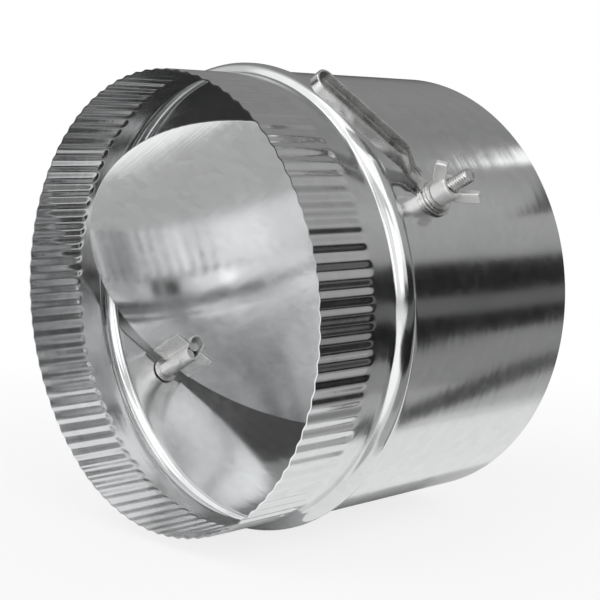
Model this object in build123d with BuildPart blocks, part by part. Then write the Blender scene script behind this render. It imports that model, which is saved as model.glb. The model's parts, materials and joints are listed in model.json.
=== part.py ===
from build123d import *
import os
from math import acos, atan2, cos, degrees, radians, sin, sqrt, tan

os.makedirs("parts", exist_ok=True)

# Duct sheet
bore = 203.2  # inside diameter of the plain end
sheet = 0.55  # wall
duct_length = 152.4

# Crimped collar, which slides into the next duct
collar_clearance = 1.0  # radial room of the crests in that duct
crimp_count = 90
crimp_length = 30.0
crimp_width = 4.4  # across a flute, from crest to crest
crimp_floor = 2.0  # flat bottom of a flute
crimp_depth = 1.7
crimp_start = 0.5  # degrees from level to the first flute

# Bead that stops the next duct
bead_y = 46.5  # from the crimped mouth
bead_radius = 5.0
bead_height = 3.0
bead_facets = 2  # rolled flats on each side of its crest

# Folded seam of the rolled sheet
seam_width = 9.0
seam_height = 1.2
seam_round = 0.4
seam_turn = 205.0  # degrees round the axis, on the side away from the handle
seam_gap = 3.0  # from the bead and from the plain rim

# Spindle line
spindle_y = 74.2  # from the crimped mouth
spindle_lift = 27.0  # degrees above level
spindle_diameter = 6.35
running_clearance = 0.05  # radial, in the two holes of the wall and in the wing nut
slip_clearance = 0.15  # radial, in washers
seat_gap = 0.03  # between stacked faces

# Blade
blade_open = 45.0  # degrees from shut
blade_gap = 3.2  # between the blade's edge and the wall
blade_sheet = 0.85

# Clips that hold the stud and the pin on the blade
clip_sheet = 1.0
clip_width = 24.0
clip_length = 22.0
clip_inset = 1.2  # from the blade's edge
barrel_reach = 2.6  # barrel past the clip's foot
claw_width = 4.0
claw_fold = 5.0  # length of the folded end
claw_inset = 2.5  # from the foot's ends
claw_clearance = 0.1
spindle_grip = 21.0  # stud or pin inside its clip

# Washers
washer_sheet = 1.0
inner_washer_diameter = 13.0
seat_washer_diameter = 17.0
nut_washer_diameter = 14.0

# Handle, a pressed channel
handle_sheet = 1.2
eye_diameter = 15.0
neck_width = 8.0
lever_width = 10.0
lever_flange = 5.0
neck_flange = 2.6
neck_start = 9.0
neck_end = 15.0
step_run = 6.0
step_rise = 3.0
flange_rise_run = 4.0
lever_reach = 73.0  # spindle to tip
key_width = 4.9  # across the two flats of the stud

# Wing nut
nut_hub_diameter = 10.6
nut_hub_height = 8.5
wing_width = 5.4
wing_sheet = 2.8
wing_root = 3.0
wing_root_height = 4.2
wing_elbow = 6.6
wing_elbow_height = 7.4
wing_tip = 11.2
wing_tip_height = 13.6
wing_round = 1.2  # corners of a wing's end
stud_past_nut = 2.0

# Far pivot
pin_past_retainer = 2.0
pin_chamfer = 0.6
retainer_diameter = 14.0
retainer_sheet = 0.5
retainer_dish = 1.4
retainer_opening = 9.0  # diameter inside its flat ring
retainer_tongues = 6
tongue_width = 2.2

# Radii of the duct
wall_inner = bore / 2
wall_outer = wall_inner + sheet
crest_outer = wall_inner - collar_clearance
crest_inner = crest_outer - sheet
bead_crest = wall_outer + bead_height
bead_centre = bead_crest - bead_radius
blade_radius = wall_inner - blade_gap
spindle_radius = spindle_diameter / 2

# Directions: along the spindle, along the handle, and square to the blade
spindle_point = Vector(0, spindle_y, 0)
along_spindle = Vector(cos(radians(spindle_lift)), 0, sin(radians(spindle_lift)))
across_spindle = Vector(-sin(radians(spindle_lift)), 0, cos(radians(spindle_lift)))
towards_mouth = Vector(0, -1, 0)
along_handle = across_spindle * cos(radians(blade_open)) + towards_mouth * sin(radians(blade_open))
blade_normal = towards_mouth * cos(radians(blade_open)) - across_spindle * sin(radians(blade_open))

# Stack on the stud, as distances from the duct's axis
seat_washer_at = wall_outer + seat_gap
pad_at = seat_washer_at + washer_sheet + seat_gap
nut_washer_at = pad_at + handle_sheet + seat_gap
nut_at = nut_washer_at + washer_sheet + seat_gap
wing_top = wing_tip_height + wing_width / 2
stud_end = nut_at + wing_top + stud_past_nut
clip_foot_end = blade_radius - clip_inset
barrel_end = clip_foot_end + barrel_reach
inner_washer_at = barrel_end + seat_gap
spindle_inner_end = barrel_end - spindle_grip
pin_washer_at = wall_outer + seat_gap
retainer_at = pin_washer_at + washer_sheet + seat_gap
pin_end = retainer_at + retainer_dish + pin_past_retainer

# The blade lies against the back of the spindle
blade_front = -spindle_radius - seat_gap
blade_back = blade_front - blade_sheet
foot_front = blade_front + clip_sheet


def stack_plane(distance, far=False):
    outward = -along_spindle if far else along_spindle
    return Plane(origin=spindle_point + outward * distance, x_dir=along_handle, z_dir=outward)


def blade_plane(far=False):
    outward = -along_spindle if far else along_spindle
    return Plane(origin=spindle_point, x_dir=outward, z_dir=blade_normal)


def section_plane(distance, far=False):
    flat = blade_plane(far)
    return Plane(origin=spindle_point + flat.x_dir * distance, x_dir=flat.y_dir, z_dir=flat.x_dir)


mouth_plane = Plane(origin=(0, 0, 0), x_dir=(1, 0, 0), z_dir=(0, 1, 0))
crimp_flank = atan2((crimp_width - crimp_floor) / 2, crimp_depth)
crimp_turns = [Location((0, 0, 0), (0, crimp_start + 360 / crimp_count * i, 0)) for i in range(crimp_count)]


# A flute's flat-sided form from a level below the crests, with its faces moved out by a wall
def crimp_form(level, wall, start):
    top = crest_outer - level
    floor = crest_outer - crimp_depth - wall
    growth = wall / cos(crimp_flank) - level * tan(crimp_flank)
    narrowing = (top - floor) * tan(crimp_flank)
    half_top = crimp_width / 2 + growth
    half_floor = half_top - narrowing
    end = crimp_length + growth
    with BuildPart() as form:
        with BuildSketch(mouth_plane.offset(start)) as form_section:
            with BuildLine() as section_line:
                Polyline(
                    (top, half_top),
                    (floor, half_floor),
                    (floor, -half_floor),
                    (top, -half_top),
                    close=True,
                )
            make_face()
        extrude(amount=end - start)
        with BuildSketch(Plane.XY) as form_side:
            with BuildLine() as side_line:
                Polyline((top, start), (top, end), (floor, end - narrowing), (floor, start), close=True)
            make_face()
        extrude(amount=crimp_width, both=True, mode=Mode.INTERSECT)
    return form.part


flute = crimp_form(-sheet, 0, -sheet)
rib = crimp_form(sheet / 2, sheet, 0)


# Corners of the bead from its foot on the collar, over its crest, to its foot on the pipe
def bead_corners(radius, collar, pipe):
    first = -acos((collar - bead_centre) / radius)
    last = acos((pipe - bead_centre) / radius)
    turns = [first * (1 - i / bead_facets) for i in range(bead_facets)]
    turns += [last * i / bead_facets for i in range(bead_facets + 1)]
    return [(bead_centre + radius * cos(turn), bead_y + radius * sin(turn)) for turn in turns]


# Rolled duct with bead, crimps, folded seam and the two spindle holes
outer_bead = bead_corners(bead_radius, crest_outer, wall_outer)
inner_bead = bead_corners(bead_radius - sheet, crest_inner, wall_inner)
pipe_start = outer_bead[-1][1]
seam_start = pipe_start + seam_gap
with BuildPart() as duct_body:
    with BuildSketch(Plane.XY) as wall_section:
        with BuildLine() as wall_outline:
            Polyline(
                (crest_inner, 0),
                (crest_outer, 0),
                *outer_bead,
                (wall_outer, duct_length),
                (wall_inner, duct_length),
                *reversed(inner_bead),
                close=True,
            )
        make_face()
    revolve(axis=Axis.Y)
    with Locations(*crimp_turns):
        add(rib)
    with Locations(*crimp_turns):
        add(flute, mode=Mode.SUBTRACT)
    with BuildSketch(mouth_plane.offset(seam_start)) as seam_section:
        with PolarLocations(wall_outer + (seam_height - sheet) / 2, 1, seam_turn):
            RectangleRounded(seam_height + sheet, seam_width, seam_round)
    extrude(amount=duct_length - seam_gap - seam_start)
    with BuildSketch(stack_plane(0)) as hole_section:
        Circle(spindle_radius + running_clearance)
    extrude(amount=bead_crest, both=True, mode=Mode.SUBTRACT)
duct_body.part.label = "duct_body"
export_step(duct_body.part, "parts/duct_body.step")

# Flat round blade with the slots for the claws of both clips
claw_slot_y = clip_width / 2 - clip_sheet / 2
claw_middle = clip_foot_end - clip_length / 2
claw_spread = clip_length - 2 * claw_inset - claw_width
with BuildPart() as damper_blade:
    with BuildSketch(blade_plane().offset(blade_back)) as disc:
        Circle(blade_radius)
        for side in (-1, 1):
            with Locations((side * claw_middle, 0)):
                with GridLocations(claw_spread, 2 * claw_slot_y, 2, 2):
                    Rectangle(
                        claw_width + 2 * claw_clearance,
                        clip_sheet + 2 * claw_clearance,
                        mode=Mode.SUBTRACT,
                    )
    extrude(amount=blade_sheet)
damper_blade.part.label = "damper_blade"
export_step(damper_blade.part, "parts/damper_blade.step")


# Pressed clip: feet on the blade, a half-round barrel, and four claws folded behind the blade
def make_clip(far):
    barrel_inner = spindle_radius + seat_gap
    barrel_outer = barrel_inner + clip_sheet
    foot_edge = clip_width / 2
    claw_back = blade_back - seat_gap - clip_sheet
    with BuildPart() as clip:
        with BuildSketch(section_plane(clip_foot_end - clip_length, far)) as clip_section:
            with BuildLine() as clip_outline:
                Polyline(
                    (-barrel_outer, 0),
                    (-barrel_outer, foot_front),
                    (-foot_edge, foot_front),
                    (-foot_edge, blade_front),
                    (-barrel_inner, blade_front),
                    (-barrel_inner, 0),
                )
                ThreePointArc((-barrel_inner, 0), (0, barrel_inner), (barrel_inner, 0))
                Polyline(
                    (barrel_inner, 0),
                    (barrel_inner, blade_front),
                    (foot_edge, blade_front),
                    (foot_edge, foot_front),
                    (barrel_outer, foot_front),
                    (barrel_outer, 0),
                )
                ThreePointArc((barrel_outer, 0), (0, barrel_outer), (-barrel_outer, 0))
            make_face()
        extrude(amount=clip_length)
        with BuildSketch(section_plane(clip_foot_end, far)) as barrel_section:
            with BuildLine() as barrel_outline:
                Polyline(
                    (-barrel_outer, 0),
                    (-barrel_outer, blade_front),
                    (-barrel_inner, blade_front),
                    (-barrel_inner, 0),
                )
                ThreePointArc((-barrel_inner, 0), (0, barrel_inner), (barrel_inner, 0))
                Polyline(
                    (barrel_inner, 0),
                    (barrel_inner, blade_front),
                    (barrel_outer, blade_front),
                    (barrel_outer, 0),
                )
                ThreePointArc((barrel_outer, 0), (0, barrel_outer), (-barrel_outer, 0))
            make_face()
        extrude(amount=barrel_reach)
        for start in (claw_middle - claw_spread / 2, claw_middle + claw_spread / 2):
            with BuildSketch(section_plane(start - claw_width / 2, far)) as claw_section:
                for side in (-1, 1):
                    with Locations((side * claw_slot_y, (foot_front + claw_back) / 2)):
                        Rectangle(clip_sheet, foot_front - claw_back)
                    with Locations((side * (foot_edge - claw_fold / 2), claw_back + clip_sheet / 2)):
                        Rectangle(claw_fold, clip_sheet)
            extrude(amount=claw_width)
    return clip


handle_clip = make_clip(far=False)
handle_clip.part.label = "handle_clip"
export_step(handle_clip.part, "parts/handle_clip.step")

pivot_clip = make_clip(far=True)
pivot_clip.part.label = "pivot_clip"
export_step(pivot_clip.part, "parts/pivot_clip.step")

# Stud for the handle and wing nut, with two flats outside the duct
with BuildPart() as handle_stud:
    with BuildSketch(stack_plane(spindle_inner_end)) as stud_round:
        Circle(spindle_radius)
    extrude(amount=stud_end - spindle_inner_end)
    chamfer(handle_stud.faces().sort_by(Axis((0, 0, 0), tuple(along_spindle)))[-1].edges(), pin_chamfer)
    with BuildSketch(stack_plane(pad_at - seat_gap)) as flats:
        with GridLocations(0, key_width + spindle_diameter, 1, 2):
            Rectangle(2 * spindle_diameter, spindle_diameter)
    extrude(amount=stud_end, mode=Mode.SUBTRACT)
handle_stud.part.label = "handle_stud"
export_step(handle_stud.part, "parts/handle_stud.step")

# Plain pin on the far side
with BuildPart() as pivot_pin:
    with BuildSketch(stack_plane(spindle_inner_end, far=True)) as pin_round:
        Circle(spindle_radius)
    extrude(amount=pin_end - spindle_inner_end)
    chamfer(pivot_pin.faces().sort_by(Axis((0, 0, 0), tuple(along_spindle)))[0].edges(), pin_chamfer)
pivot_pin.part.label = "pivot_pin"
export_step(pivot_pin.part, "parts/pivot_pin.step")


def make_washer(plane, diameter):
    with BuildPart() as washer:
        with BuildSketch(plane) as ring:
            Circle(diameter / 2)
            Circle(spindle_radius + slip_clearance, mode=Mode.SUBTRACT)
        extrude(amount=washer_sheet)
    return washer


washers = {
    "handle_inner_washer": (stack_plane(inner_washer_at), inner_washer_diameter),
    "pivot_inner_washer": (stack_plane(inner_washer_at, far=True), inner_washer_diameter),
    "seat_washer": (stack_plane(seat_washer_at), seat_washer_diameter),
    "nut_washer": (stack_plane(nut_washer_at), nut_washer_diameter),
    "pivot_washer": (stack_plane(pin_washer_at, far=True), seat_washer_diameter),
}
for name, (plane, diameter) in washers.items():
    washer = make_washer(plane, diameter)
    washer.part.label = name
    export_step(washer.part, f"parts/{name}.step")

# Handle: flat eye, stepped neck that clears the bead, and a channel lever closed round its tip
lever_start = neck_end + step_run
flange_start = lever_start + flange_rise_run
tip_centre = lever_reach - lever_width / 2
lever_top = step_rise + lever_flange
step_shift = handle_sheet * tan(atan2(step_rise, step_run) / 2)
pad_plane = stack_plane(pad_at)
handle_side = Plane(origin=pad_plane.origin, x_dir=along_handle, z_dir=-blade_normal)


def lever_outline(start, inset):
    half_neck = neck_width / 2 - inset
    half_lever = lever_width / 2 - inset
    with BuildSketch() as outline:
        with BuildLine() as edge:
            Polyline(
                (tip_centre, half_lever),
                (lever_start, half_lever),
                (neck_end, half_neck),
                (start, half_neck),
                (start, -half_neck),
                (neck_end, -half_neck),
                (lever_start, -half_lever),
                (tip_centre, -half_lever),
            )
            ThreePointArc((tip_centre, -half_lever), (tip_centre + half_lever, 0), (tip_centre, half_lever))
        make_face()
    return outline.sketch


with BuildPart() as handle_hollow:
    with BuildSketch(pad_plane) as hollow_plan:
        add(lever_outline(neck_start, handle_sheet))
    extrude(amount=lever_top)
    with BuildSketch(handle_side) as hollow_side:
        with BuildLine() as hollow_line:
            Polyline(
                (neck_start, handle_sheet),
                (neck_end - step_shift, handle_sheet),
                (lever_start - step_shift, step_rise + handle_sheet),
                (lever_reach, step_rise + handle_sheet),
                (lever_reach, lever_top),
                (neck_start, lever_top),
                close=True,
            )
        make_face()
    extrude(amount=lever_width, both=True, mode=Mode.INTERSECT)

with BuildPart() as handle:
    with BuildSketch(pad_plane) as handle_plan:
        Circle(eye_diameter / 2)
        add(lever_outline(0, 0))
    extrude(amount=lever_top)
    with BuildSketch(handle_side) as handle_profile:
        with BuildLine() as profile_line:
            Polyline(
                (-eye_diameter, 0),
                (neck_end, 0),
                (lever_start, step_rise),
                (lever_reach, step_rise),
                (lever_reach, lever_top),
                (flange_start, lever_top),
                (lever_start, step_rise + neck_flange),
                (neck_end, neck_flange),
                (neck_start + neck_flange, neck_flange),
                (neck_start, handle_sheet),
                (-eye_diameter, handle_sheet),
                close=True,
            )
        make_face()
    extrude(amount=eye_diameter, both=True, mode=Mode.INTERSECT)
    add(handle_hollow.part, mode=Mode.SUBTRACT)
    with BuildSketch(pad_plane) as key_hole:
        Circle(spindle_radius + running_clearance)
        Rectangle(spindle_diameter * 2, key_width + 2 * running_clearance, mode=Mode.INTERSECT)
    extrude(amount=handle_sheet, mode=Mode.SUBTRACT)
handle.part.label = "handle"
export_step(handle.part, "parts/handle.step")

# Wing nut: round hub and two bent bar wings
nut_plane = stack_plane(nut_at)
nut_side = Plane(origin=nut_plane.origin, x_dir=along_handle, z_dir=-blade_normal)
wing_line = [(wing_root, wing_root_height), (wing_elbow, wing_elbow_height), (wing_tip, wing_tip_height)]
with BuildPart() as wing_nut:
    with BuildSketch(nut_plane) as hub:
        Circle(nut_hub_diameter / 2)
    extrude(amount=nut_hub_height)
    with BuildSketch(nut_side) as wing_section:
        for start, end in zip(wing_line, wing_line[1:]):
            run, rise = end[0] - start[0], end[1] - start[1]
            middle = ((start[0] + end[0]) / 2, (start[1] + end[1]) / 2, 0)
            with Locations(Location(middle, (0, 0, degrees(atan2(rise, run))))):
                Rectangle(sqrt(run**2 + rise**2), wing_width)
        with Locations((wing_elbow, wing_elbow_height)):
            Circle(wing_width / 2)
        wing_corners = wing_section.vertices()
        fillet([wing_corners.sort_by(Axis.X)[-1], wing_corners.sort_by(Axis.Y)[-1]], wing_round)
        mirror(about=Plane.YZ)
    extrude(amount=wing_sheet / 2, both=True)
    with BuildSketch(nut_plane) as nut_bore:
        Circle(spindle_radius + running_clearance)
    extrude(amount=wing_top, mode=Mode.SUBTRACT)
wing_nut.part.label = "wing_nut"
export_step(wing_nut.part, "parts/wing_nut.step")

# Push-on retainer on the far pin: a flat ring with tongues bent up to grip the pin
retainer_plane = stack_plane(retainer_at, far=True)
retainer_bore = spindle_radius + seat_gap
tongue_bend = sqrt((retainer_opening / 2) ** 2 - (tongue_width / 2) ** 2)
with BuildPart() as tongue:
    with BuildSketch(Plane.XZ) as tongue_section:
        with BuildLine() as tongue_line:
            Polyline(
                (retainer_opening / 2 + retainer_sheet, 0),
                (retainer_opening / 2 + retainer_sheet, retainer_sheet),
                (tongue_bend, retainer_sheet),
                (retainer_bore, retainer_dish),
                (retainer_bore, retainer_dish - retainer_sheet),
                (tongue_bend, 0),
                close=True,
            )
        make_face()
    extrude(amount=tongue_width / 2, both=True)

with BuildPart() as pivot_retainer:
    with BuildSketch(retainer_plane) as retainer_ring:
        Circle(retainer_diameter / 2)
        Circle(retainer_opening / 2, mode=Mode.SUBTRACT)
    extrude(amount=retainer_sheet)
    with Locations(retainer_plane):
        with PolarLocations(0, retainer_tongues):
            add(tongue.part)
pivot_retainer.part.label = "pivot_retainer"
export_step(pivot_retainer.part, "parts/pivot_retainer.step")
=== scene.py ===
import json
from math import cos, hypot, radians, sin, tau
from random import Random

import bmesh
import bpy
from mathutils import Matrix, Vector, noise


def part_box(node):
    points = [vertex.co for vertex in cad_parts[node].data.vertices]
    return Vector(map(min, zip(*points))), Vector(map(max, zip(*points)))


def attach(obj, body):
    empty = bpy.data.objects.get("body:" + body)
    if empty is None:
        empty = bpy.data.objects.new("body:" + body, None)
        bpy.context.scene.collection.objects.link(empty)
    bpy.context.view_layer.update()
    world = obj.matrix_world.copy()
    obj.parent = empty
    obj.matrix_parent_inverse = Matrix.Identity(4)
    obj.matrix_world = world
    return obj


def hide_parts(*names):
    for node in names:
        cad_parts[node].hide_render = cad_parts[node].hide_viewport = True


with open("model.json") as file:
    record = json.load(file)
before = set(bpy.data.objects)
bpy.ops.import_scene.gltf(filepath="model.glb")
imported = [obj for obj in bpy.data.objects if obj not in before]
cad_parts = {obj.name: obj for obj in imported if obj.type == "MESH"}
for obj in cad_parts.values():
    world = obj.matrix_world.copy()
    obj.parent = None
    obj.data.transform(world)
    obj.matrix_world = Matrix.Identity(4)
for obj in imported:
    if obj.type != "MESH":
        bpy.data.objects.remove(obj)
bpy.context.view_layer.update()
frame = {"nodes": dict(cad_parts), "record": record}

nodes = frame["nodes"]
record = frame["record"]
joints = {joint["name"]: joint for joint in record["behaviour"]["joints"]}
mounts = {mount["name"]: mount for mount in record["mounts"]}
mm = 0.001
print("frame loaded:", len(nodes), "nodes")

# spindle line and the half-open blade's own directions
spindlePoint = Vector(joints["blade_turn"]["pos_m"])
alongSpindle = Vector(joints["blade_turn"]["axis"]).normalized()
towardsMouth = Vector((0, -1, 0))
acrossSpindle = towardsMouth.cross(alongSpindle)
halfOpen = -radians(joints["blade_turn"]["range_deg"][0])
alongHandle = acrossSpindle * cos(halfOpen) + towardsMouth * sin(halfOpen)
bladeNormal = alongSpindle.cross(alongHandle)

nodeGrid = (190, -170)  # a column and a row in the node editor


# small node helpers
def addNode(tree, kind, at, **settings):
    node = tree.nodes.new(kind)
    node.location = (at[0] * nodeGrid[0], at[1] * nodeGrid[1])
    for key, value in settings.items():
        setattr(node, key, value)
    return node


def wire(tree, source, target):
    tree.links.new(source, target)


def newGroup(name, inputs, outputs):
    group = bpy.data.node_groups.new(name, "ShaderNodeTree")
    for label, kind, default in inputs:
        socket = group.interface.new_socket(label, in_out="INPUT", socket_type=kind)
        socket.default_value = default
    for label, kind in outputs:
        group.interface.new_socket(label, in_out="OUTPUT", socket_type=kind)
    entry = addNode(group, "NodeGroupInput", (-5, 0))
    leave = addNode(group, "NodeGroupOutput", (6, 0))
    return group, entry, leave


# a math node on two sockets or numbers
def calc(tree, operation, a, b, at, clamp=False):
    node = addNode(tree, "ShaderNodeMath", at, operation=operation, use_clamp=clamp)
    for socket, value in zip(node.inputs, (a, b)):
        if isinstance(value, (int, float)):
            socket.default_value = value
        elif value is not None:
            wire(tree, value, socket)
    return node.outputs[0]


# spangle: the crystal patches of hot-dip zinc
spangleForm = {
    "bendDetail": 2.0, "fineDetail": 4.0, "fineScale": 6.0,
    "patchShare": 0.7, "fineShare": 0.3, "edgeSharpness": 6.0,
}


def makeSpangleGroup():
    group, entry, leave = newGroup(
        "zincSpangle",
        [("Patch Size", "NodeSocketFloat", 0.012), ("Wander", "NodeSocketFloat", 0.35)],
        [("Tone", "NodeSocketFloat"), ("Patch Edge", "NodeSocketFloat")],
    )
    place = addNode(group, "ShaderNodeTexCoord", (-5, 2)).outputs["Object"]
    scale = calc(group, "DIVIDE", 1.0, entry.outputs["Patch Size"], (-4, 0))
    bend = addNode(group, "ShaderNodeTexNoise", (-4, 2))
    bend.inputs["Detail"].default_value = spangleForm["bendDetail"]
    wire(group, place, bend.inputs["Vector"])
    wire(group, scale, bend.inputs["Scale"])
    spread = addNode(group, "ShaderNodeVectorMath", (-3, 2), operation="SCALE")
    wire(group, bend.outputs["Color"], spread.inputs[0])
    reach = calc(group, "MULTIPLY", entry.outputs["Patch Size"], entry.outputs["Wander"], (-4, 1))
    wire(group, reach, spread.inputs["Scale"])
    moved = addNode(group, "ShaderNodeVectorMath", (-2, 2), operation="ADD")
    wire(group, place, moved.inputs[0])
    wire(group, spread.outputs[0], moved.inputs[1])
    cells = addNode(group, "ShaderNodeTexVoronoi", (-1, 2))
    edges = addNode(group, "ShaderNodeTexVoronoi", (-1, 0), feature="DISTANCE_TO_EDGE")
    for texture in (cells, edges):
        wire(group, moved.outputs[0], texture.inputs["Vector"])
        wire(group, scale, texture.inputs["Scale"])
    split = addNode(group, "ShaderNodeSeparateColor", (1, 2))
    wire(group, cells.outputs["Color"], split.inputs["Color"])
    fine = addNode(group, "ShaderNodeTexNoise", (0, 4))
    fine.inputs["Detail"].default_value = spangleForm["fineDetail"]
    wire(group, place, fine.inputs["Vector"])
    wire(group, calc(group, "MULTIPLY", scale, spangleForm["fineScale"], (-1, 4)), fine.inputs["Scale"])
    tone = calc(group, "MULTIPLY_ADD", split.outputs["Red"], spangleForm["patchShare"], (2, 2))
    speckle = calc(group, "MULTIPLY", fine.outputs["Fac"], spangleForm["fineShare"], (1, 4))
    wire(group, speckle, tone.node.inputs[2])
    wire(group, tone, leave.inputs["Tone"])
    sharpness = spangleForm["edgeSharpness"]
    edge = calc(group, "MULTIPLY", edges.outputs["Distance"], sharpness, (2, 0), clamp=True)
    wire(group, edge, leave.inputs["Patch Edge"])
    return group


# rolling lines: drawn out along the mill's direction, round the duct or straight across a flat piece
rollingForm = {
    "wrapShare": 0.1,
    # output, share of the scale, detail, row in the node editor
    "layers": (("Lines", 1.0, 3.0, 2), ("Broad", 0.12, 2.0, 0)),
}


def makeRollingGroup():
    group, entry, leave = newGroup(
        "rollingLines",
        [("Along", "NodeSocketVector", (1.0, 0.0, 0.0)), ("Wrapped", "NodeSocketFloat", 0.0),
         ("Line Spacing", "NodeSocketFloat", 0.0012), ("Stretch", "NodeSocketFloat", 0.03)],
        [("Lines", "NodeSocketFloat"), ("Broad", "NodeSocketFloat")],
    )
    place = addNode(group, "ShaderNodeTexCoord", (-6, 3)).outputs["Object"]
    split = addNode(group, "ShaderNodeSeparateXYZ", (-5, 4))
    wire(group, place, split.inputs[0])
    turn = calc(group, "ARCTAN2", split.outputs["X"], split.outputs["Z"], (-4, 4))
    girth = calc(group, "MULTIPLY", entry.outputs["Stretch"], rollingForm["wrapShare"], (-4, 5))
    arc = calc(group, "MULTIPLY", turn, girth, (-3, 4))
    wrapped = addNode(group, "ShaderNodeCombineXYZ", (-2, 4))
    wire(group, arc, wrapped.inputs["X"])
    wire(group, split.outputs["Y"], wrapped.inputs["Y"])
    reach = addNode(group, "ShaderNodeVectorMath", (-5, 2), operation="DOT_PRODUCT")
    wire(group, place, reach.inputs[0])
    wire(group, entry.outputs["Along"], reach.inputs[1])
    squeeze = calc(group, "SUBTRACT", 1.0, entry.outputs["Stretch"], (-4, 1))
    pull = addNode(group, "ShaderNodeVectorMath", (-3, 2), operation="SCALE")
    wire(group, entry.outputs["Along"], pull.inputs[0])
    wire(group, calc(group, "MULTIPLY", reach.outputs["Value"], squeeze, (-3, 1)), pull.inputs["Scale"])
    flat = addNode(group, "ShaderNodeVectorMath", (-2, 2), operation="SUBTRACT")
    wire(group, place, flat.inputs[0])
    wire(group, pull.outputs[0], flat.inputs[1])
    pick = addNode(group, "ShaderNodeMix", (-1, 3), data_type="VECTOR")
    wire(group, entry.outputs["Wrapped"], pick.inputs["Factor"])
    wire(group, flat.outputs[0], pick.inputs["A"])
    wire(group, wrapped.outputs[0], pick.inputs["B"])
    scale = calc(group, "DIVIDE", 1.0, entry.outputs["Line Spacing"], (-1, 1))
    for label, share, detail, row in rollingForm["layers"]:
        texture = addNode(group, "ShaderNodeTexNoise", (1, row))
        texture.inputs["Detail"].default_value = detail
        wire(group, pick.outputs["Result"], texture.inputs["Vector"])
        wire(group, calc(group, "MULTIPLY", scale, share, (0, row)), texture.inputs["Scale"])
        wire(group, texture.outputs["Fac"], leave.inputs[label])
    return group


# handling marks: dull smears and a few finger-size blots
handlingForm = {"detail": 6.0, "distortion": 0.6, "clearShare": 0.7, "sharpness": 3.0}


def makeHandlingGroup():
    group, entry, leave = newGroup(
        "handlingMarks",
        [("Size", "NodeSocketFloat", 0.05), ("Cover", "NodeSocketFloat", 0.5)],
        [("Mask", "NodeSocketFloat")],
    )
    place = addNode(group, "ShaderNodeTexCoord", (-4, 2)).outputs["Object"]
    texture = addNode(group, "ShaderNodeTexNoise", (-2, 2))
    texture.inputs["Detail"].default_value = handlingForm["detail"]
    texture.inputs["Distortion"].default_value = handlingForm["distortion"]
    wire(group, place, texture.inputs["Vector"])
    wire(group, calc(group, "DIVIDE", 1.0, entry.outputs["Size"], (-3, 1)), texture.inputs["Scale"])
    low = calc(group, "SUBTRACT", 1.0, entry.outputs["Cover"], (-1, 0))
    clear = calc(group, "MULTIPLY", low, handlingForm["clearShare"], (0, 0))
    over = calc(group, "SUBTRACT", texture.outputs["Fac"], clear, (1, 1))
    mask = calc(group, "MULTIPLY", over, handlingForm["sharpness"], (2, 1), clamp=True)
    wire(group, mask, leave.inputs["Mask"])
    return group


# edge shine: corners rubbed bright, from how sharply the surface turns
edgeForm = {"nearFlat": 0.52}


def makeEdgeGroup():
    group, entry, leave = newGroup(
        "edgeShine",
        [("Sharpness", "NodeSocketFloat", 12.0)],
        [("Mask", "NodeSocketFloat")],
    )
    turn = addNode(group, "ShaderNodeNewGeometry", (-3, 0)).outputs["Pointiness"]
    over = calc(group, "SUBTRACT", turn, edgeForm["nearFlat"], (-1, 0))
    mask = calc(group, "MULTIPLY", over, entry.outputs["Sharpness"], (1, 0), clamp=True)
    wire(group, mask, leave.inputs["Mask"])
    return group


effects = {
    "spangle": makeSpangleGroup(),
    "rolling": makeRollingGroup(),
    "handling": makeHandlingGroup(),
    "edge": makeEdgeGroup(),
}
print("effect groups:", len(effects))


def placeGroup(tree, effect, at, values):
    node = addNode(tree, "ShaderNodeGroup", at, node_tree=effects[effect])
    for label, value in values.items():
        node.inputs[label].default_value = value
    return node


def blendColour(tree, factor, dark, pale, at):
    node = addNode(tree, "ShaderNodeMix", at, data_type="RGBA")
    node.inputs["A"].default_value = (*dark, 1)
    node.inputs["B"].default_value = (*pale, 1)
    wire(tree, factor, node.inputs["Factor"])
    return node.outputs["Result"]


# sheet finish: spangle in the colour, rolling lines in the relief, smears in the gloss
galvanisedFinish = {
    "dark": (0.735, 0.74, 0.745), "pale": (0.795, 0.80, 0.805),
    "patchSize": 0.005, "gloss": 0.12, "patchGloss": 0.04, "smearGloss": 0.06,
    "lineSpacing": 0.0011, "lineDepth": 0.00001, "waveDepth": 0.0001,
    "smearSize": 0.06, "smearCover": 0.45,
}


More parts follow.
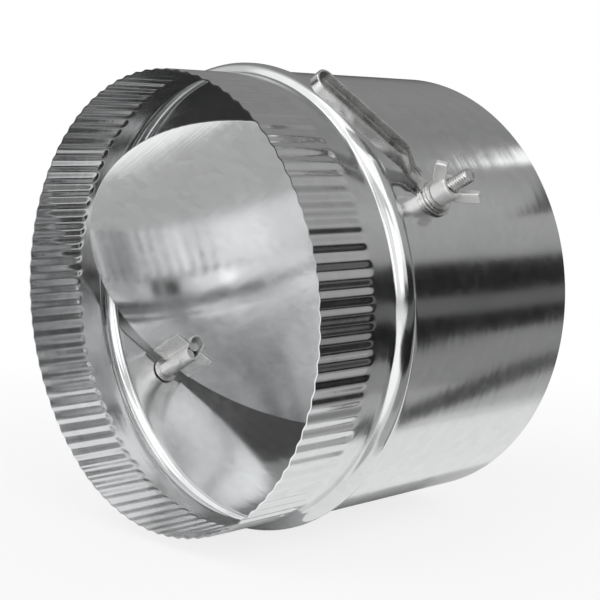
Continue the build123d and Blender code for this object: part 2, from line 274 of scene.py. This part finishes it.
def galvanised(name, along=(1, 0, 0), wrapped=0.0, **changes):
    finish = {**galvanisedFinish, **changes}
    material = bpy.data.materials.new(name)
    material.use_nodes = True
    tree = material.node_tree
    shader = tree.nodes["Principled BSDF"]
    shader.inputs["Metallic"].default_value = 1.0
    spangle = placeGroup(tree, "spangle", (-5, 0), {"Patch Size": finish["patchSize"]})
    drawn = {"Along": along, "Wrapped": wrapped, "Line Spacing": finish["lineSpacing"]}
    rolling = placeGroup(tree, "rolling", (-5, 2), drawn)
    smears = {"Size": finish["smearSize"], "Cover": finish["smearCover"]}
    handling = placeGroup(tree, "handling", (-5, 4), smears)
    colour = blendColour(tree, spangle.outputs["Tone"], finish["dark"], finish["pale"], (-3, 0))
    wire(tree, colour, shader.inputs["Base Color"])
    patchy = calc(tree, "MULTIPLY_ADD", spangle.outputs["Tone"], finish["patchGloss"], (-3, 2))
    patchy.node.inputs[2].default_value = finish["gloss"]
    smeared = calc(tree, "MULTIPLY_ADD", handling.outputs["Mask"], finish["smearGloss"], (-2, 2))
    wire(tree, patchy, smeared.node.inputs[2])
    wire(tree, smeared, shader.inputs["Roughness"])
    lines = addNode(tree, "ShaderNodeBump", (-3, 4))
    lines.inputs["Distance"].default_value = finish["lineDepth"]
    wire(tree, rolling.outputs["Lines"], lines.inputs["Height"])
    waves = addNode(tree, "ShaderNodeBump", (-2, 4))
    waves.inputs["Distance"].default_value = finish["waveDepth"]
    wire(tree, rolling.outputs["Broad"], waves.inputs["Height"])
    wire(tree, lines.outputs["Normal"], waves.inputs["Normal"])
    wire(tree, waves.outputs["Normal"], shader.inputs["Normal"])
    return material


# hardware finish: plated, a little grainy, bright where corners rub
platedFinish = {
    "dark": (0.62, 0.62, 0.61), "pale": (0.84, 0.84, 0.83), "metal": 1.0, "gloss": 0.22,
    "patchSize": 0.003, "wander": 0.8, "smearSize": 0.008, "smearCover": 0.5, "smearGloss": 0.14,
    "grain": 0.0006, "grainDepth": 0.00004, "grainDetail": 3.0,
}


def plated(name, **changes):
    finish = {**platedFinish, **changes}
    material = bpy.data.materials.new(name)
    material.use_nodes = True
    tree = material.node_tree
    shader = tree.nodes["Principled BSDF"]
    shader.inputs["Metallic"].default_value = finish["metal"]
    patches = {"Patch Size": finish["patchSize"], "Wander": finish["wander"]}
    spangle = placeGroup(tree, "spangle", (-5, 0), patches)
    smears = {"Size": finish["smearSize"], "Cover": finish["smearCover"]}
    handling = placeGroup(tree, "handling", (-5, 2), smears)
    edge = placeGroup(tree, "edge", (-5, 4), {})
    shine = calc(tree, "MAXIMUM", spangle.outputs["Tone"], edge.outputs["Mask"], (-4, 0))
    colour = blendColour(tree, shine, finish["dark"], finish["pale"], (-3, 0))
    wire(tree, colour, shader.inputs["Base Color"])
    dull = calc(tree, "MULTIPLY_ADD", handling.outputs["Mask"], finish["smearGloss"], (-3, 2))
    dull.node.inputs[2].default_value = finish["gloss"]
    wire(tree, dull, shader.inputs["Roughness"])
    grain = addNode(tree, "ShaderNodeTexNoise", (-4, 5))
    grain.inputs["Scale"].default_value = 1 / finish["grain"]
    grain.inputs["Detail"].default_value = finish["grainDetail"]
    place = addNode(tree, "ShaderNodeTexCoord", (-5, 5)).outputs["Object"]
    wire(tree, place, grain.inputs["Vector"])
    relief = addNode(tree, "ShaderNodeBump", (-2, 5))
    relief.inputs["Distance"].default_value = finish["grainDepth"]
    wire(tree, grain.outputs["Fac"], relief.inputs["Height"])
    wire(tree, relief.outputs["Normal"], shader.inputs["Normal"])
    return material


finishes = {
    "ductSheet": galvanised("ductSheet", wrapped=1.0),
    "bladeSheet": galvanised("bladeSheet", along=tuple(alongSpindle), gloss=0.09, waveDepth=0.00005),
    "handleSteel": plated("handleSteel", gloss=0.2),
    "clipSteel": plated(
        "clipSteel", dark=(0.76, 0.76, 0.75), pale=(0.92, 0.92, 0.91), metal=0.85, gloss=0.3,
        grain=0.004, grainDepth=0.0012,
    ),
    "nutZinc": plated("nutZinc", dark=(0.84, 0.84, 0.83), pale=(0.94, 0.94, 0.93), metal=0.85, gloss=0.4),
    "washerZinc": plated("washerZinc"),
    "springSteel": plated("springSteel", dark=(0.22, 0.22, 0.23), pale=(0.42, 0.42, 0.43), gloss=0.3),
}
print("finishes:", len(finishes))

sharpTurn = 40  # degrees past which an edge stays sharp


# a mesh object from points and faces, smooth but for its sharp corners
def meshPiece(name, points, faces, material, sharp=sharpTurn):
    mesh = bpy.data.meshes.new(name)
    mesh.from_pydata([Vector(point) * mm for point in points], [], faces)
    mesh.shade_smooth()
    mesh.set_sharp_from_angle(angle=radians(sharp))
    mesh.materials.append(material)
    piece = bpy.data.objects.new(name, mesh)
    bpy.context.collection.objects.link(piece)
    return piece


# a grid of rings closed round the axis: rows of equal length, each joined to the next
def ringFaces(rows, columns):
    faces = []
    for row in range(rows - 1):
        for column in range(columns):
            beside = (column + 1) % columns
            low, high = row * columns, (row + 1) * columns
            faces.append((low + column, high + column, high + beside, low + beside))
    return faces


# give a piece the shape that its modifiers make, and drop them
def settle(piece):
    bpy.context.view_layer.update()
    shaped = bpy.data.meshes.new_from_object(piece.evaluated_get(bpy.context.evaluated_depsgraph_get()))
    piece.modifiers.clear()
    piece.data = shaped
    shaped.shade_smooth()
    shaped.set_sharp_from_angle(angle=radians(sharpTurn))


# rolled duct, in mm: fluted collar, bead, and a wall that is never quite round
ductForm = {
    "wall": 102.15, "sheet": 0.55, "length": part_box("duct_body")[1].y / mm,
    "crest": mounts["crimped_end"]["dims"]["r_mm"],
    "crimps": 90, "crimpStart": -0.5, "crimpLength": 30.0, "crimpDepth": 0.7,
    "fluteHalf": 3.5, "endRound": 3.0, "crease": 0.4,
    "fluteSteps": (0.0, 0.55, 1.1, 1.65, 2.2, 2.8),  # from a flute's middle out to the crest
    "unevenDepth": 0.10, "unevenEnd": 0.5, "seed": 11,
    "beadMiddle": 46.5, "beadRadius": 5.0, "beadCrest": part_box("duct_body")[1].x / mm,
    "beadSteps": 10, "beadTurns": (-72, 56),
    "collarRows": (0.0, 0.6, 8.0, 16.0, 23.0),
    "endRowsBack": 4.0, "endRowStep": 0.75, "endRows": 8,  # through the flutes' round ends
    "bandRows": ((34.5, 0.0), (38.0, 0.0), (40.3, 0.0), (41.0, 0.1), (41.5, 0.5)),  # place, lift over crest
    "footRows": ((51.0, 0.35), (51.5, 0.08), (52.4, 0.0)),  # place, lift over wall
    "pipeStart": 54.0, "pipeRows": 9,
    "sway": 0.16, "swaySize": 46.0, "ripple": 0.025, "rippleSize": 15.0,
    "hole": 3.225, "holeSides": 48, "drillReach": 1.2,
    "seamTurn": 155.0, "seamWidth": 9.0, "seamHeight": 1.2, "seamEnds": (54.1, 149.4), "seamSunk": 0.3,
    "seamShoulders": ((0.0, 0.5), (0.15, 0.8), (0.6, 1.0)),  # in from the side, share of the height
    "seamTaper": (0.5, 0.6),  # length, share of the height at the very end
}


def smoothStep(low, high, value):
    share = min(max((value - low) / (high - low), 0.0), 1.0)
    return share * share * (3 - 2 * share)


def ductRows(form):
    crest, wall = form["crest"], form["wall"]
    rows = [(y, crest) for y in form["collarRows"]]
    endsFrom = form["crimpLength"] - form["endRowsBack"]
    rows += [(endsFrom + form["endRowStep"] * step, crest) for step in range(form["endRows"])]
    rows += [(y, crest + lift) for y, lift in form["bandRows"]]
    middle = form["beadCrest"] - form["beadRadius"]
    first, last = form["beadTurns"]
    for step in range(form["beadSteps"] + 1):
        turn = radians(first + (last - first) * step / form["beadSteps"])
        place = form["beadMiddle"] + form["beadRadius"] * sin(turn)
        rows.append((place, middle + form["beadRadius"] * cos(turn)))
    rows += [(y, wall + lift) for y, lift in form["footRows"]]
    start = form["pipeStart"]
    reach = form["length"] - start
    rows += [(start + reach * step / form["pipeRows"], wall) for step in range(form["pipeRows"] + 1)]
    return rows


def makeDuct(form, material):
    draw = Random(form["seed"])
    crimps = range(form["crimps"])
    depths = [form["crimpDepth"] * (1 + form["unevenDepth"] * draw.uniform(-1, 1)) for _ in crimps]
    ends = [form["crimpLength"] + form["unevenEnd"] * draw.uniform(-1, 1) for _ in crimps]
    pitch = tau * form["crest"] / form["crimps"]
    across = [*form["fluteSteps"], pitch / 2]
    steps = [-reach for reach in reversed(across[1:-1])] + across
    rows = ductRows(form)
    points = []
    for y, radius in rows:
        for crimp in crimps:
            past = max(y - ends[crimp] + form["endRound"], 0.0) * form["fluteHalf"] / form["endRound"]
            for step in steps:
                turn = radians(form["crimpStart"]) - tau * (crimp + step / pitch) / form["crimps"]
                around = Vector((cos(turn), 0, sin(turn))) * form["wall"] + Vector((0, y, 0))
                # straight walls, soft floor and crest
                share = min(hypot(step, past) / form["fluteHalf"], 1.0)
                lift = form["crease"] * share + (1 - form["crease"]) * smoothStep(0.0, 1.0, share)
                press = depths[crimp] * (1 - lift)
                sway = form["sway"] * noise.noise(around / form["swaySize"])
                ripple = form["ripple"] * noise.noise(around / form["rippleSize"])
                reach = radius - press + sway + ripple
                points.append((reach * cos(turn), y, reach * sin(turn)))
    columns = len(steps) * form["crimps"]
    faces = [face[::-1] for face in ringFaces(len(rows), columns)]  # its rings run clockwise
    piece = meshPiece("ductSheet", points, faces, material)
    skin = piece.modifiers.new("sheet", "SOLIDIFY")
    skin.thickness = form["sheet"] * mm
    skin.offset = -1.0
    skin.use_even_offset = True
    drill = makeDrill(form)
    cut = piece.modifiers.new("spindleHoles", "BOOLEAN")
    cut.object = drill
    cut.operation = "DIFFERENCE"
    settle(piece)
    bpy.data.objects.remove(drill)
    addSeam(piece.data, form)
    return piece


# folded lock seam along the pipe: a flat strip with rounded shoulders
def addSeam(mesh, form):
    half, height = form["seamWidth"] / 2, form["seamHeight"]
    side = [(-half, -form["seamSunk"])]
    side += [(-half + inset, share * height) for inset, share in form["seamShoulders"]]
    section = side + [(-half / 2, height), (0.0, height), (half / 2, height)]
    section += [(-across, lift) for across, lift in reversed(side)]
    shell = bmesh.new()
    shell.from_mesh(mesh)
    first, last = form["seamEnds"]
    taper, low = form["seamTaper"]
    rings = []
    for y, share in ((first, low), (first + taper, 1.0), (last - taper, 1.0), (last, low)):
        ring = []
        for across, lift in section:
            turn = radians(form["seamTurn"]) + across / form["wall"]
            reach = form["wall"] + (lift * share if lift > 0 else lift)
            ring.append(shell.verts.new(Vector((reach * cos(turn), y, reach * sin(turn))) * mm))
        rings.append(ring)
    for near, far in zip(rings, rings[1:]):
        for corner in range(len(section)):
            beside = (corner + 1) % len(section)
            shell.faces.new((near[corner], near[beside], far[beside], far[corner]))
    shell.faces.new(rings[0][::-1])
    shell.faces.new(rings[-1])
    shell.to_mesh(mesh)
    shell.free()
    mesh.shade_smooth()
    mesh.set_sharp_from_angle(angle=radians(sharpTurn))


# a round bar along the spindle, longer than the duct is wide
def makeDrill(form):
    sides = form["holeSides"]
    points = []
    for end in (-form["drillReach"], form["drillReach"]):
        for side in range(sides):
            turn = tau * side / sides
            spoke = alongHandle * cos(turn) + bladeNormal * sin(turn)
            points.append(spindlePoint / mm + alongSpindle * end * form["beadCrest"] + spoke * form["hole"])
    faces = [face[::-1] for face in ringFaces(2, sides)]
    faces += [tuple(range(sides))[::-1], tuple(range(sides, 2 * sides))]
    return meshPiece("drill", points, faces, finishes["washerZinc"])


ductSheet = makeDuct(ductForm, finishes["ductSheet"])
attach(ductSheet, "duct")
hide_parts("duct_body")
print("duct sheet:", len(ductSheet.data.polygons), "faces")

# threaded stud, in mm: quarter-inch coarse thread with two flats from the handle outwards
studForm = {
    "radius": 3.175, "pitch": 1.27, "depth": 0.62, "flank": (0.2, 0.8), "acrossFlats": 4.9, "chamfer": 0.6,
    "sides": 40, "rowsPerTurn": 8, "sharpTurn": 50,
}


def spindleSpan(node):
    reaches = [(vertex.co - spindlePoint).dot(alongSpindle) / mm for vertex in nodes[node].data.vertices]
    return min(reaches), max(reaches)


def makeStud(form, material):
    first, last = spindleSpan("handle_stud")
    flatsFrom = spindleSpan("handle")[0]
    rows = int((last - first) / form["pitch"] * form["rowsPerTurn"]) + 1
    sides = form["sides"]
    points = []
    for row in range(rows):
        along = first + (last - first) * row / (rows - 1)
        tip = form["radius"] - max(form["chamfer"] - (last - along), 0.0)
        for side in range(sides):
            turn = tau * side / sides
            lift = abs(2 * ((along / form["pitch"] - side / sides) % 1.0) - 1)  # up and down once a turn
            radius = min(form["radius"] - form["depth"] * smoothStep(*form["flank"], lift), tip)
            if along >= flatsFrom and abs(sin(turn)) * radius > form["acrossFlats"] / 2:
                radius = form["acrossFlats"] / 2 / abs(sin(turn))
            spoke = alongHandle * cos(turn) + bladeNormal * sin(turn)
            points.append(spindlePoint / mm + alongSpindle * along + spoke * radius)
    faces = [face[::-1] for face in ringFaces(rows, sides)]
    faces += [tuple(range(sides))[::-1], tuple(range((rows - 1) * sides, rows * sides))]
    return meshPiece("threadedStud", points, faces, material, sharp=form["sharpTurn"])


threadedStud = makeStud(studForm, finishes["washerZinc"])
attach(threadedStud, "blade")
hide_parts("handle_stud")
print("threaded stud:", len(threadedStud.data.polygons), "faces")

# pressed and sheared corners: a small round on every sharp edge of the carried-over pieces, in mm
cornerRounds = {
    "damper_blade": 0.12, "handle": 0.45, "handle_clip": 0.4, "pivot_clip": 0.4,
    "pivot_pin": 0.2, "pivot_retainer": 0.12, "seat_washer": 0.22, "nut_washer": 0.22, "pivot_washer": 0.22,
    "handle_inner_washer": 0.22, "pivot_inner_washer": 0.22,
}
cornerForm = {"weldWithin": 1e-6, "flatWithin": 1.0, "steps": 3, "sharpFrom": 32}  # metres, degrees


def roundCorners(node, radius):
    weld = node.modifiers.new("weld", "WELD")
    weld.merge_threshold = cornerForm["weldWithin"]
    flats = node.modifiers.new("flats", "DECIMATE")
    flats.decimate_type = "DISSOLVE"
    flats.angle_limit = radians(cornerForm["flatWithin"])
    bevel = node.modifiers.new("corners", "BEVEL")
    bevel.width = radius * mm
    bevel.segments = cornerForm["steps"]
    bevel.limit_method = "ANGLE"
    bevel.angle_limit = radians(cornerForm["sharpFrom"])
    shade = node.modifiers.new("shade", "WEIGHTED_NORMAL")
    shade.keep_sharp = True
    node.data.shade_smooth()


# die-cast wing nut: the same form with every corner run soft, in mm
castForm = {"grain": 0.2, "passes": 45, "pull": 0.5}


def softenCasting(node, form):
    weld = node.modifiers.new("weld", "WELD")
    weld.merge_threshold = cornerForm["weldWithin"]
    grain = node.modifiers.new("grain", "REMESH")
    grain.mode = "VOXEL"
    grain.voxel_size = form["grain"] * mm
    grain.use_smooth_shade = True
    soft = node.modifiers.new("soft", "SMOOTH")
    soft.factor = form["pull"]
    soft.iterations = form["passes"]


for name, radius in cornerRounds.items():
    roundCorners(nodes[name], radius)
softenCasting(nodes["wing_nut"], castForm)
print("rounded corners:", len(cornerRounds) + 1, "pieces")

# what each carried-over piece is made of, plain washer zinc where nothing is said
nodeFinish = {
    "duct_body": "ductSheet", "damper_blade": "bladeSheet", "handle": "handleSteel",
    "handle_clip": "clipSteel", "pivot_clip": "clipSteel", "wing_nut": "nutZinc",
    "handle_stud": "washerZinc", "pivot_pin": "washerZinc", "pivot_retainer": "springSteel",
}
for name, node in nodes.items():
    finish = finishes[nodeFinish.get(name, "washerZinc")]
    node.data.materials.clear()
    node.data.materials.append(finish)
print("dressed pieces:", len(nodes))

# camera at the photograph's angle
camera = {
    "azimuth": radians(47.0), "elevation": radians(5.53), "distance": 0.6323,
    "lens": 81.2, "shift": (0.022, -0.0104), "clipStart": 0.01,
}
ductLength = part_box("duct_body")[1].y
back = Vector((
    sin(camera["azimuth"]) * cos(camera["elevation"]),
    -cos(camera["azimuth"]) * cos(camera["elevation"]),
    sin(camera["elevation"]),
))
view = bpy.data.objects.new("camera", bpy.data.cameras.new("camera"))
view.location = Vector((0, ductLength / 2, 0)) + back * camera["distance"]
view.rotation_mode = "QUATERNION"
view.rotation_quaternion = (-back).to_track_quat("-Z", "Y")
view.data.lens = camera["lens"]
view.data.shift_x, view.data.shift_y = camera["shift"]
view.data.clip_start = camera["clipStart"]
bpy.context.collection.objects.link(view)
bpy.context.scene.camera = view

# pale floor, which keeps the shadow near the duct and turns white farther out
stage = {"drop": 0.0005, "half": 4.0, "colour": (0.86, 0.86, 0.86), "white": 0.8, "fade": (0.2, 0.6)}
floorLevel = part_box("duct_body")[0].z - stage["drop"]


def floorMaterial(name):
    material = bpy.data.materials.new(name)
    material.use_nodes = True
    tree = material.node_tree
    tree.nodes.clear()
    leave = addNode(tree, "ShaderNodeOutputMaterial", (3, 0))
    soft = addNode(tree, "ShaderNodeBsdfDiffuse", (0, 0))
    soft.inputs["Color"].default_value = (*stage["colour"], 1)
    glow = addNode(tree, "ShaderNodeEmission", (0, 2))
    path = addNode(tree, "ShaderNodeLightPath", (-1, 1))
    away = addNode(tree, "ShaderNodeVectorMath", (-3, 2), operation="LENGTH")
    place = addNode(tree, "ShaderNodeTexCoord", (-4, 2)).outputs["Object"]
    wire(tree, place, away.inputs[0])
    fade = addNode(tree, "ShaderNodeMapRange", (-2, 2), interpolation_type="SMOOTHSTEP")
    fade.inputs["From Min"].default_value, fade.inputs["From Max"].default_value = stage["fade"]
    fade.inputs["To Min"].default_value = stage["white"]
    wire(tree, away.outputs["Value"], fade.inputs["Value"])
    share = calc(tree, "MULTIPLY", path.outputs["Is Camera Ray"], fade.outputs[0], (0, 1))
    mix = addNode(tree, "ShaderNodeMixShader", (1, 0))
    wire(tree, share, mix.inputs[0])
    wire(tree, soft.outputs[0], mix.inputs[1])
    wire(tree, glow.outputs[0], mix.inputs[2])
    wire(tree, mix.outputs[0], leave.inputs[0])
    return material


floorMesh = bpy.data.meshes.new("floor")
half = stage["half"]
floorCorners = [(-half, -half, 0), (half, -half, 0), (half, half, 0), (-half, half, 0)]
floorMesh.from_pydata(floorCorners, [], [(0, 1, 2, 3)])
floor = bpy.data.objects.new("floor", floorMesh)
floor.location.z = floorLevel
floorMesh.materials.append(floorMaterial("paleFloor"))
bpy.context.collection.objects.link(floor)

# painted reflections, what the metal mirrors: a glowing tunnel tent along the duct, brighter on the mouth's
# side, and glowing cards round the duct
tent = {
    "radius": 3.0, "reach": 8.0, "ribs": 92, "bays": 16,
    "levels": [  # degrees round from the right-hand side over the top to the left, and brightness
        (-2, 0.018), (15, 0.018), (18, 0.36), (45, 0.43), (65, 0.34),
        (90, 0.27), (120, 0.28), (150, 0.245), (168, 0.045), (182, 0.045),
    ],
    "front": 0.675, "frontTowards": (-0.5, -0.87, 0.0), "turnover": (0.1, 0.5),
    "leftBand": (150, 164),  # degrees over which the front's light ends on the left
    "back": 0.2, "backShare": 1.1, "backFoot": -0.5,
}
# glowing cards that paint the floor in the metal's reflections, with painted shade and painted light
cards = {  # corners seen from above, height over the floor, brightness
    "nearGrey": ([(0.115, 0.0), (0.16, 0.0), (0.16, 2.5), (0.115, 2.5)], 0.001, 0.45),
    "midGrey": ([(0.16, 0.0), (0.34, 0.0), (0.34, 2.5), (0.16, 2.5)], 0.001, 0.28),
    "darkStrip": (
        [(0.236, -0.3), (0.236, 0.21), (0.31, 0.345), (0.34, 0.6), (0.34, 2.5), (0.6, 2.5), (0.6, -0.3)],
        0.002, 0.0135,
    ),
    "farStrip": ([(0.6, -0.3), (0.6, 2.5), (3.0, 8.0), (3.0, -0.3)], 0.001, 0.145),
    # painted shadow of the duct on the floor, seen in the pipe's reflection
    "slantShade": (
        [(0.100, 0.08), (0.114, 0.08), (0.178, 0.257), (0.20, 0.36), (0.17, 0.37), (0.150, 0.262)],
        0.003, 0.072,
    ),
    # painted shade of the floor behind the duct
    "rearShade": ([(-0.40, 0.17), (0.03, 0.185), (0.05, 0.45), (-0.40, 0.45)], 0.001, 0.036),
    # painted light: the floor beside the duct brighter than the lamps make it
    "nearWhite": ([(0.04, 0.0), (0.106, 0.0), (0.106, 0.6), (0.06, 0.6)], 0.002, 0.855),
    # painted shade on the floor under the mouth, seen in the blade
    "mouthGrey": ([(-0.2, -0.06), (0.1, -0.06), (0.1, 0.02), (-0.2, 0.02)], 0.001, 0.47),
    # painted light on the floor in front of the mouth, seen inside the duct
    "frontWhite": ([(-0.7, -0.7), (0.35, -0.7), (0.35, -0.06), (-0.7, -0.06)], 0.001, 1.17),
    # painted shade seen through the rear opening: a dark card hanging over the floor behind the duct
    "rearBoreShade": (
        [(-0.13, 0.24), (0.06, 0.24), (0.12, 0.258), (0.195, 0.295),
         (0.19, 0.315), (0.10, 0.36), (-0.13, 0.38)],
        0.226, 0.07,
    ),
}


# seen in reflections only
def reflectionOnly(piece):
    piece.visible_camera = False
    piece.visible_diffuse = False
    piece.visible_transmission = False
    piece.visible_volume_scatter = False
    piece.visible_shadow = False


def stagePiece(name, points, faces, material):
    mesh = bpy.data.meshes.new(name)
    mesh.from_pydata(points, [], faces)
    mesh.materials.append(material)
    piece = bpy.data.objects.new(name, mesh)
    bpy.context.collection.objects.link(piece)
    reflectionOnly(piece)
    return piece


def glowMaterial(name, level):
    material = bpy.data.materials.new(name)
    material.use_nodes = True
    tree = material.node_tree
    tree.nodes.clear()
    leave = addNode(tree, "ShaderNodeOutputMaterial", (3, 0))
    glow = addNode(tree, "ShaderNodeEmission", (2, 0))
    glow.inputs["Strength"].default_value = level
    wire(tree, glow.outputs[0], leave.inputs[0])
    return material


def tentMaterial():
    material = glowMaterial("tentCloth", 1.0)
    tree = material.node_tree
    glow = next(node for node in tree.nodes if node.type == "EMISSION")
    place = addNode(tree, "ShaderNodeTexCoord", (-5, 0))
    split = addNode(tree, "ShaderNodeSeparateXYZ", (-4, 0))
    wire(tree, place.outputs["Object"], split.inputs[0])
    # the left side's angles stay positive past the half turn
    turned = calc(tree, "ARCTAN2", split.outputs["X"], split.outputs["Z"], (-3, 0))
    around = calc(tree, "SUBTRACT", radians(90), turned, (-2, 0))
    lowest, highest = tent["levels"][0][0], tent["levels"][-1][0]
    share = addNode(tree, "ShaderNodeMapRange", (-1, 0))
    share.inputs["From Min"].default_value = radians(lowest)
    share.inputs["From Max"].default_value = radians(highest)
    wire(tree, around, share.inputs["Value"])
    ramp = addNode(tree, "ShaderNodeValToRGB", (0, 0))
    stops = ramp.color_ramp.elements
    for (angle, level), stop in zip(tent["levels"][:2], stops):
        stop.position = (angle - lowest) / (highest - lowest)
        stop.color = (level, level, level, 1)
    for angle, level in tent["levels"][2:]:
        stops.new((angle - lowest) / (highest - lowest)).color = (level, level, level, 1)
    wire(tree, share.outputs[0], ramp.inputs["Fac"])
    heading = addNode(tree, "ShaderNodeVectorMath", (-4, 2), operation="NORMALIZE")
    wire(tree, place.outputs["Object"], heading.inputs[0])
    facing = addNode(tree, "ShaderNodeVectorMath", (-3, 2), operation="DOT_PRODUCT")
    facing.inputs[1].default_value = tent["frontTowards"]
    wire(tree, heading.outputs[0], facing.inputs[0])
    ahead = addNode(tree, "ShaderNodeMapRange", (-2, 2), interpolation_type="SMOOTHSTEP")
    ahead.inputs["From Min"].default_value, ahead.inputs["From Max"].default_value = tent["turnover"]
    wire(tree, facing.outputs["Value"], ahead.inputs["Value"])
    band = addNode(tree, "ShaderNodeMapRange", (-1, 3))
    bandLow, bandHigh = map(radians, tent["leftBand"])
    band.inputs["From Min"].default_value, band.inputs["From Max"].default_value = bandLow, bandHigh
    band.inputs["To Min"].default_value, band.inputs["To Max"].default_value = 1.0, 0.0
    wire(tree, around, band.inputs["Value"])
    blend = addNode(tree, "ShaderNodeMix", (1, 2), data_type="RGBA")
    blend.inputs["B"].default_value = (tent["front"], tent["front"], tent["front"], 1)
    wire(tree, calc(tree, "MULTIPLY", ahead.outputs[0], band.outputs[0], (0, 2)), blend.inputs["Factor"])
    wire(tree, ramp.outputs["Color"], blend.inputs["A"])
    wire(tree, blend.outputs["Result"], glow.inputs["Color"])
    return material


def makeTent():
    lowest, highest = radians(tent["levels"][0][0]), radians(tent["levels"][-1][0])
    reach, bays = tent["reach"], tent["bays"]
    ends = [-reach + 2 * reach * bay / bays for bay in range(bays + 1)]
    points = []
    for rib in range(tent["ribs"] + 1):
        turn = lowest + (highest - lowest) * rib / tent["ribs"]
        points += [(tent["radius"] * cos(turn), y, tent["radius"] * sin(turn)) for y in ends]
    row = len(ends)
    faces = []
    for rib in range(tent["ribs"]):
        for bay in range(bays):
            low, high = rib * row + bay, (rib + 1) * row + bay
            faces.append((low, low + 1, high + 1, high))
    stagePiece("studioTent", points, faces, tentMaterial()).data.shade_smooth()
    side, foot = tent["backShare"] * tent["radius"], tent["backFoot"]
    corners = [(-side, reach, foot), (side, reach, foot), (side, reach, side), (-side, reach, side)]
    stagePiece("tentBack", corners, [(0, 1, 2, 3)], glowMaterial("tentBack", tent["back"]))


makeTent()
for name, (corners, height, level) in cards.items():
    points = [(x, y, floorLevel + height) for x, y in corners]
    stagePiece(name, points, [tuple(range(len(corners)))], glowMaterial(name, level))
print("stage cards:", len(cards))

# white all round to the eye and to the metal, with a weaker fill light
surround = {"seen": 1.0, "fill": 0.64}
world = bpy.data.worlds.new("surround")
bpy.context.scene.world = world
world.use_nodes = True
sky = world.node_tree
path = addNode(sky, "ShaderNodeLightPath", (-4, 0))
seen = calc(sky, "MAXIMUM", path.outputs["Is Camera Ray"], path.outputs["Is Glossy Ray"], (-3, 0))
seen = calc(sky, "MAXIMUM", seen, path.outputs["Is Transmission Ray"], (-2, 0))
level = addNode(sky, "ShaderNodeMapRange", (-1, 0))
level.inputs["To Min"].default_value = surround["fill"]
level.inputs["To Max"].default_value = surround["seen"]
wire(sky, seen, level.inputs["Value"])
wire(sky, level.outputs[0], sky.nodes["Background"].inputs["Strength"])
sky.nodes["Background"].inputs["Color"].default_value = (1, 1, 1, 1)

# soft lamps
lamps = {
    "topSoftbox": {"at": (0.45, -0.5, 1.1), "aim": (0, 0.05, 0), "size": (1.4, 1.0), "power": 3.8},
    "mouthSoftbox": {"at": (-0.4, -0.9, 1.0), "aim": (0, 0.0, -0.05), "size": (1.3, 1.0), "power": 1.8},
    "sideSoftbox": {"at": (1.3, -0.3, 0.6), "aim": (0, 0.08, 0), "size": (0.9, 0.9), "power": 2.1},
    "cameraSoftbox": {"at": (0.8, -0.85, 0.30), "aim": (0, 0.05, 0), "size": (0.8, 0.55), "power": 1.6},
    "rimSoftbox": {"at": (0.32, 1.75, 1.24), "aim": (0.08, 0.15, 0.06), "size": (0.30, 0.09), "power": 0.13},
}
for name, lamp in lamps.items():
    light = bpy.data.lights.new(name, "AREA")
    light.shape = "RECTANGLE"
    light.size, light.size_y = lamp["size"]
    light.energy = lamp["power"]
    holder = bpy.data.objects.new(name, light)
    holder.location = lamp["at"]
    holder.rotation_mode = "QUATERNION"
    holder.rotation_quaternion = (Vector(lamp["aim"]) - Vector(lamp["at"])).to_track_quat("-Z", "Y")
    bpy.context.collection.objects.link(holder)
bpy.context.scene.view_settings.view_transform = "Standard"
print("lamps:", len(lamps))
